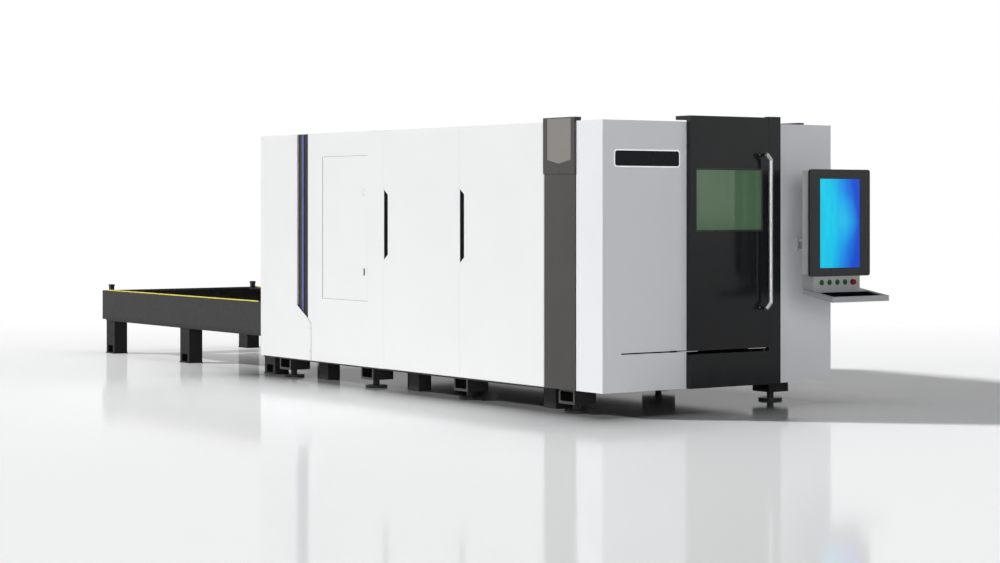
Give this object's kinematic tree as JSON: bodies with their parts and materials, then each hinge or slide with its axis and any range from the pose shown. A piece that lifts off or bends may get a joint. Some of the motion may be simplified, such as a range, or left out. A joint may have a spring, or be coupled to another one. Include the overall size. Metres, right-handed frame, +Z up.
{
  "type": "fibre laser cutting machine",
  "caption": "Enclosed sheet-metal laser cutter with a sliding front door, gantry and cutting head, swing-arm operator console and a rear exchange table with slatted pallets.",
  "frame": {"origin": "middle of the machine's footprint at floor level, console tray and exchange table included", "axes": "+X to the operator's right along the front, +Y from the front door back to the exchange table, +Z up"},
  "size_m": [2.32, 9.485, 2.253],
  "materials": {
    "white": "fine satin powder coat",
    "front_grey": "satin powder coat",
    "black": "gloss paint",
    "column_grey": "satin paint",
    "insert_grey": "satin paint",
    "channel_black": "satin paint",
    "light_blue": "diffuser over a light strip",
    "frame_paint": "matt paint",
    "bed_paint": "matt textured paint",
    "bollard_black": "moulded",
    "foot_steel": "blackened steel",
    "yellow": "warning paint",
    "bright_steel": "brushed",
    "handle_metal": "satin anodised",
    "slide_nylon": "machined",
    "window_glass": "green laser-safe glass",
    "way_steel": "ground",
    "gantry_aluminium": "extruded",
    "truck_paint": "satin paint",
    "head_metal": "anodised",
    "source_paint": "textured powder coat",
    "drive_paint": "enamel",
    "pallet_paint": "matt paint",
    "slat_steel": "mill finish",
    "wheel_steel": "turned",
    "console_grey": "textured powder coat",
    "bezel_black": "satin moulding",
    "screen_glass": "display behind a clear front",
    "button_green": "moulded",
    "stop_red": "moulded",
    "key_black": "moulded"
  },
  "bodies": {
    "machine": {"side_panel_left": "white", "side_panel_right": "white", "rear_covers": "white", "roof": "white", "rear_wall": "white", "front_wall": "front_grey", "door_surround": "black", "door_track": "black", "columns": "column_grey", "column_masks": "column_grey", "mask_inserts": "insert_grey", "light_channels": "channel_black", "light_strips": "light_blue", "cell_frame": "frame_paint", "bed_frame": "bed_paint", "table_frame": "bed_paint", "corner_bollards": "bollard_black", "levelling_feet": "foot_steel", "table_stripes": "yellow", "door_slide_blocks": "slide_nylon", "gantry_ways": "way_steel", "laser_source": "source_paint", "electrical_cabinet": "source_paint", "exchange_drive": "drive_paint", "console_bracket": "console_grey"},
    "front_door": {"door_panel": "black", "door_window": "window_glass", "door_handle": "handle_metal", "door_guides": "bright_steel"},
    "service_door_front": {"service_door_front": "white", "door_pull_front": "black"},
    "service_door_rear": {"service_door_rear": "white", "door_pull_rear": "black"},
    "access_door": {"access_door": "white"},
    "access_latch_upper": {"access_latch_upper": "bright_steel"},
    "access_latch_lower": {"access_latch_lower": "bright_steel"},
    "gantry": {"gantry_girder": "gantry_aluminium", "gantry_trucks": "truck_paint"},
    "cross_carriage": {"cross_carriage": "truck_paint"},
    "cutting_head": {"cutting_head": "head_metal"},
    "upper_pallet": {"upper_pallet_frame": "pallet_paint", "upper_pallet_slats": "slat_steel"},
    "upper_wheels_front": {"upper_pallet_wheels_front": "wheel_steel"},
    "upper_wheels_rear": {"upper_pallet_wheels_rear": "wheel_steel"},
    "lower_pallet": {"lower_pallet_frame": "pallet_paint", "lower_pallet_slats": "slat_steel"},
    "lower_wheels_front": {"lower_pallet_wheels_front": "wheel_steel"},
    "lower_wheels_rear": {"lower_pallet_wheels_rear": "wheel_steel"},
    "console_arm": {"console_arm": "console_grey"},
    "console": {"console_housing": "console_grey", "screen_bezel": "bezel_black", "screen": "screen_glass", "control_box": "console_grey", "console_tray": "console_grey", "keyboard": "key_black"},
    "push_button_1": {"push_button_1": "button_green"},
    "push_button_2": {"push_button_2": "button_green"},
    "push_button_3": {"push_button_3": "button_green"},
    "push_button_4": {"push_button_4": "button_green"},
    "emergency_stop": {"emergency_stop": "stop_red"}
  },
  "joints": [
    {"name": "front_door_slide", "type": "slide", "parent": "machine", "child": "front_door", "axis": [-1, 0, 0], "range_m": [0, 0.6]},
    {"name": "service_door_front_hinge", "type": "hinge", "parent": "machine", "child": "service_door_front", "pos_m": [-1.145, -3.3035, 1.19], "axis": [0, 0, 1], "range_deg": [0, 90]},
    {"name": "service_door_rear_hinge", "type": "hinge", "parent": "machine", "child": "service_door_rear", "pos_m": [-1.145, -2.161, 1.19], "axis": [0, 0, 1], "range_deg": [0, 90]},
    {"name": "access_door_hinge", "type": "hinge", "parent": "machine", "child": "access_door", "pos_m": [-1.145, -0.0045, 1.3675], "axis": [0, 0, -1], "range_deg": [0, 90]},
    {"name": "access_latch_upper_hinge", "type": "hinge", "parent": "access_door", "child": "access_latch_upper", "pos_m": [-1.145, -0.6895, 1.675], "axis": [0, 0, -1], "range_deg": [0, 40], "stiffness_Nm_per_rad": 0.5, "springref_deg": -11.46},
    {"name": "access_latch_lower_hinge", "type": "hinge", "parent": "access_door", "child": "access_latch_lower", "pos_m": [-1.145, -0.6895, 0.992], "axis": [0, 0, -1], "range_deg": [0, 40], "stiffness_Nm_per_rad": 0.5, "springref_deg": -11.46},
    {"name": "gantry_slide", "type": "slide", "parent": "machine", "child": "gantry", "axis": [0, 1, 0], "range_m": [-1.2, 1.9]},
    {"name": "cross_carriage_slide", "type": "slide", "parent": "gantry", "child": "cross_carriage", "axis": [1, 0, 0], "range_m": [-0.69, 0.69]},
    {"name": "cutting_head_slide", "type": "slide", "parent": "cross_carriage", "child": "cutting_head", "axis": [0, 0, 1], "range_m": [-0.2, 0]},
    {"name": "upper_pallet_slide", "type": "slide", "parent": "machine", "child": "upper_pallet", "axis": [0, -1, 0], "range_m": [0, 4.82]},
    {"name": "lower_pallet_slide", "type": "slide", "parent": "machine", "child": "lower_pallet", "axis": [0, 1, 0], "range_m": [0, 4.82]},
    {"name": "upper_wheels_front_turn", "type": "hinge", "parent": "upper_pallet", "child": "upper_wheels_front", "pos_m": [-0.164, 1.4135, 0.558], "axis": [1, 0, 0], "continuous": true},
    {"name": "upper_wheels_rear_turn", "type": "hinge", "parent": "upper_pallet", "child": "upper_wheels_rear", "pos_m": [-0.164, 4.2935, 0.558], "axis": [1, 0, 0], "continuous": true},
    {"name": "lower_wheels_front_turn", "type": "hinge", "parent": "lower_pallet", "child": "lower_wheels_front", "pos_m": [-0.164, -3.4065, 0.408], "axis": [-1, 0, 0], "continuous": true},
    {"name": "lower_wheels_rear_turn", "type": "hinge", "parent": "lower_pallet", "child": "lower_wheels_rear", "pos_m": [-0.164, -0.5265, 0.408], "axis": [-1, 0, 0], "continuous": true},
    {"name": "console_arm_hinge", "type": "hinge", "parent": "machine", "child": "console_arm", "pos_m": [0.787, -4.1025, 1.255], "axis": [0, 0, 1], "range_deg": [-15, 55]},
    {"name": "console_swivel", "type": "hinge", "parent": "console_arm", "child": "console", "pos_m": [0.787, -4.3585, 1.255], "axis": [0, 0, -1], "range_deg": [-45, 45]},
    {"name": "push_button_1_push", "type": "slide", "parent": "console", "child": "push_button_1", "axis": [0, 1, 0], "range_m": [0, 0.004], "stiffness_N_per_m": 1000, "springref_m": -0.002},
    {"name": "push_button_2_push", "type": "slide", "parent": "console", "child": "push_button_2", "axis": [0, 1, 0], "range_m": [0, 0.004], "stiffness_N_per_m": 1000, "springref_m": -0.002},
    {"name": "push_button_3_push", "type": "slide", "parent": "console", "child": "push_button_3", "axis": [0, 1, 0], "range_m": [0, 0.004], "stiffness_N_per_m": 1000, "springref_m": -0.002},
    {"name": "push_button_4_push", "type": "slide", "parent": "console", "child": "push_button_4", "axis": [0, 1, 0], "range_m": [0, 0.004], "stiffness_N_per_m": 1000, "springref_m": -0.002},
    {"name": "emergency_stop_push", "type": "slide", "parent": "console", "child": "emergency_stop", "axis": [0, 1, 0], "range_m": [0, 0.005]}
  ],
  "couplings": [
    {"joint": "lower_pallet_slide", "follows": "upper_pallet_slide", "ratio": 1},
    {"joint": "upper_wheels_front_turn", "follows": "upper_pallet_slide", "rad_per_m": 33.333},
    {"joint": "upper_wheels_rear_turn", "follows": "upper_pallet_slide", "rad_per_m": 33.333},
    {"joint": "lower_wheels_front_turn", "follows": "upper_pallet_slide", "rad_per_m": 33.333},
    {"joint": "lower_wheels_rear_turn", "follows": "upper_pallet_slide", "rad_per_m": 33.333}
  ]
}
